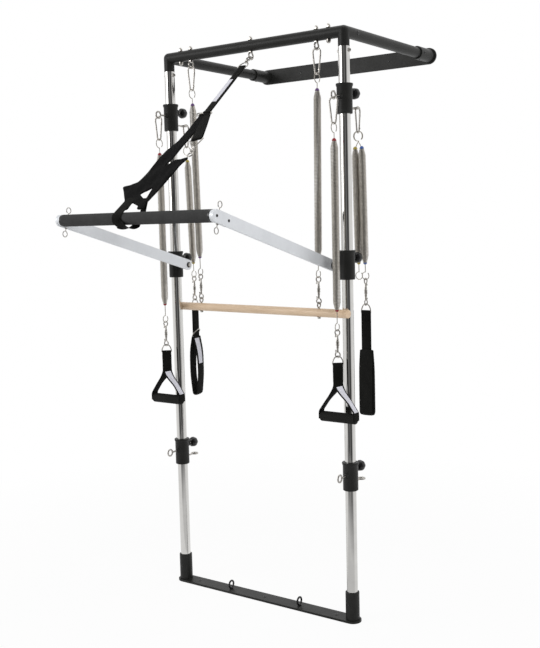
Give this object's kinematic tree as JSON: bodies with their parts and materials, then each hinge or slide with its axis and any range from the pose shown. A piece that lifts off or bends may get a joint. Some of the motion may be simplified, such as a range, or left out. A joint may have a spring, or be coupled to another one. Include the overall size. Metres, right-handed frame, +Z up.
{
  "type": "pilates tower unit",
  "caption": "Wall and floor fixed pilates tower: chrome uprights with sliding collars, a push-through bar, springs with handles and foot straps, a wooden bar and a safety strap.",
  "frame": {"origin": "on the floor, midway between the two uprights' axes", "axes": "+X to the right-hand upright as seen by a person facing the wall, +Y back to the wall, +Z up"},
  "size_m": [0.8796, 1.2719, 2.0143],
  "materials": {
    "black_powder_coat": "satin",
    "chrome": "polished",
    "zinc_steel": "plated, half gloss",
    "spring_steel": "drawn wire, dull",
    "aluminium_plate": "brushed",
    "knob_plastic": "matte",
    "foam": "matte foam",
    "webbing": "woven",
    "beech": "oiled"
  },
  "bodies": {
    "frame": {"top_frame": "black_powder_coat", "floor_base": "black_powder_coat", "wall_plate": "black_powder_coat", "left_upright": "chrome", "right_upright": "chrome", "left_outer_eyebolt": "zinc_steel", "left_eyebolt": "zinc_steel", "middle_eyebolt": "zinc_steel", "right_eyebolt": "zinc_steel", "right_outer_eyebolt": "zinc_steel", "left_roll_hook": "zinc_steel", "right_roll_hook": "zinc_steel", "left_purple_spring": "spring_steel", "right_purple_spring": "spring_steel", "strap_hook": "zinc_steel", "strap_upper": "webbing"},
    "left_upper": {"left_upper_collar": "black_powder_coat"},
    "right_upper": {"right_upper_collar": "black_powder_coat"},
    "left_middle": {"left_middle_collar": "black_powder_coat", "left_pivot_bolt": "zinc_steel", "strap_slide": "zinc_steel", "strap_swivel": "zinc_steel"},
    "right_middle": {"right_middle_collar": "black_powder_coat", "right_pivot_bolt": "zinc_steel"},
    "left_lower": {"left_lower_collar": "black_powder_coat"},
    "right_lower": {"right_lower_collar": "black_powder_coat"},
    "push_bar": {"push_through_bar": "foam", "left_push_arm": "aluminium_plate", "right_push_arm": "aluminium_plate", "strap_lower": "webbing"},
    "roll_bar": {"roll_down_bar": "beech", "left_roll_eyebolt": "zinc_steel", "right_roll_eyebolt": "zinc_steel", "left_roll_snap": "zinc_steel", "right_roll_snap": "zinc_steel"},
    "left_upper_knob": {"left_upper_knob": "knob_plastic"},
    "left_middle_knob": {"left_middle_knob": "knob_plastic"},
    "left_lower_knob": {"left_lower_knob": "knob_plastic"},
    "left_front_line": {"left_front_hook": "zinc_steel", "left_red_spring": "spring_steel"},
    "left_handle": {"left_handle_snap": "zinc_steel", "left_handle_strap": "webbing"},
    "left_grip": {"left_handle_grip": "foam"},
    "left_foot": {"left_foot_snap": "zinc_steel", "left_foot_strap": "webbing"},
    "right_upper_knob": {"right_upper_knob": "knob_plastic"},
    "right_middle_knob": {"right_middle_knob": "knob_plastic"},
    "right_lower_knob": {"right_lower_knob": "knob_plastic"},
    "right_front_line": {"right_front_hook": "zinc_steel", "right_red_spring": "spring_steel"},
    "right_handle": {"right_handle_snap": "zinc_steel", "right_handle_strap": "webbing"},
    "right_grip": {"right_handle_grip": "foam"},
    "right_foot": {"right_foot_snap": "zinc_steel", "right_foot_strap": "webbing"},
    "left_back_line": {"left_back_hook": "zinc_steel", "left_yellow_spring": "spring_steel"},
    "right_back_line": {"right_back_hook": "zinc_steel", "right_blue_spring": "spring_steel"},
    "right_spare_spring": {"right_yellow_spring": "spring_steel"}
  },
  "joints": [
    {"name": "left_upper_slide", "type": "slide", "parent": "frame", "child": "left_upper", "axis": [0, 0, 1], "range_m": [-0.02, 0.08]},
    {"name": "right_upper_slide", "type": "slide", "parent": "frame", "child": "right_upper", "axis": [0, 0, 1], "range_m": [-0.02, 0.08]},
    {"name": "left_middle_slide", "type": "slide", "parent": "frame", "child": "left_middle", "axis": [0, 0, 1], "range_m": [-0.06, 0.06], "deforming": ["strap_upper"]},
    {"name": "right_middle_slide", "type": "slide", "parent": "frame", "child": "right_middle", "axis": [0, 0, 1], "range_m": [-0.06, 0.06]},
    {"name": "left_lower_slide", "type": "slide", "parent": "frame", "child": "left_lower", "axis": [0, 0, 1], "range_m": [-0.33, 0.01]},
    {"name": "right_lower_slide", "type": "slide", "parent": "frame", "child": "right_lower", "axis": [0, 0, 1], "range_m": [-0.33, 0.01]},
    {"name": "left_upper_knob_turn", "type": "hinge", "parent": "left_upper", "child": "left_upper_knob", "pos_m": [-0.373, 0, 1.788], "axis": [0, 1, 0], "continuous": true},
    {"name": "left_middle_knob_turn", "type": "hinge", "parent": "left_middle", "child": "left_middle_knob", "pos_m": [-0.373, 0, 1.247], "axis": [0, 1, 0], "continuous": true},
    {"name": "left_lower_knob_turn", "type": "hinge", "parent": "left_lower", "child": "left_lower_knob", "pos_m": [-0.373, 0, 0.532], "axis": [0, 1, 0], "continuous": true},
    {"name": "right_upper_knob_turn", "type": "hinge", "parent": "right_upper", "child": "right_upper_knob", "pos_m": [0.373, 0, 1.788], "axis": [0, 1, 0], "continuous": true},
    {"name": "right_middle_knob_turn", "type": "hinge", "parent": "right_middle", "child": "right_middle_knob", "pos_m": [0.373, 0, 1.247], "axis": [0, 1, 0], "continuous": true},
    {"name": "right_lower_knob_turn", "type": "hinge", "parent": "right_lower", "child": "right_lower_knob", "pos_m": [0.373, 0, 0.532], "axis": [0, 1, 0], "continuous": true},
    {"name": "push_bar_swing", "type": "hinge", "parent": "left_middle", "child": "push_bar", "pos_m": [0, 0, 1.223], "axis": [-1, 0, 0], "range_deg": [0, 50], "deforming": ["strap_lower", "strap_upper"]},
    {"name": "left_front_swing", "type": "hinge", "parent": "left_upper", "child": "left_front_line", "pos_m": [-0.373, -0.07, 1.7715], "axis": [-1, 0, 0], "range_deg": [0, 60]},
    {"name": "left_handle_pull", "type": "slide", "parent": "left_front_line", "child": "left_handle", "axis": [0, 0, -1], "range_m": [0, 0.1], "stiffness_N_per_m": 250, "springref_m": -0.03, "deforming": ["left_red_spring"]},
    {"name": "left_grip_turn", "type": "hinge", "parent": "left_handle", "child": "left_grip", "pos_m": [-0.373, -0.07, 0.7238], "axis": [1, 0, 0], "continuous": true},
    {"name": "left_back_swing", "type": "hinge", "parent": "left_upper", "child": "left_back_line", "pos_m": [-0.373, 0.084, 1.741], "axis": [1, 0, 0], "range_deg": [0, 25]},
    {"name": "left_foot_pull", "type": "slide", "parent": "left_back_line", "child": "left_foot", "axis": [0, 0, -1], "range_m": [0, 0.1], "stiffness_N_per_m": 350, "springref_m": -0.025, "deforming": ["left_yellow_spring"]},
    {"name": "right_front_swing", "type": "hinge", "parent": "right_upper", "child": "right_front_line", "pos_m": [0.373, -0.07, 1.7715], "axis": [-1, 0, 0], "range_deg": [0, 60]},
    {"name": "right_handle_pull", "type": "slide", "parent": "right_front_line", "child": "right_handle", "axis": [0, 0, -1], "range_m": [0, 0.1], "stiffness_N_per_m": 250, "springref_m": -0.03, "deforming": ["right_red_spring"]},
    {"name": "right_grip_turn", "type": "hinge", "parent": "right_handle", "child": "right_grip", "pos_m": [0.373, -0.07, 0.7238], "axis": [1, 0, 0], "continuous": true},
    {"name": "right_back_swing", "type": "hinge", "parent": "right_upper", "child": "right_back_line", "pos_m": [0.373, 0.084, 1.741], "axis": [1, 0, 0], "range_deg": [0, 25]},
    {"name": "right_foot_pull", "type": "slide", "parent": "right_back_line", "child": "right_foot", "axis": [0, 0, -1], "range_m": [0, 0.1], "stiffness_N_per_m": 350, "springref_m": -0.025, "deforming": ["right_blue_spring"]},
    {"name": "spare_spring_swing", "type": "hinge", "parent": "right_back_line", "child": "right_spare_spring", "pos_m": [0.373, 0.0877, 1.665], "axis": [1, 0, 0], "range_deg": [0, 20]},
    {"name": "roll_bar_pull", "type": "slide", "parent": "frame", "child": "roll_bar", "axis": [0, 0, -1], "range_m": [0, 0.35], "stiffness_N_per_m": 400, "springref_m": -0.03, "deforming": ["left_purple_spring", "right_purple_spring"]}
  ],
  "couplings": [
    {"joint": "right_middle_slide", "follows": "left_middle_slide", "ratio": 1}
  ]
}
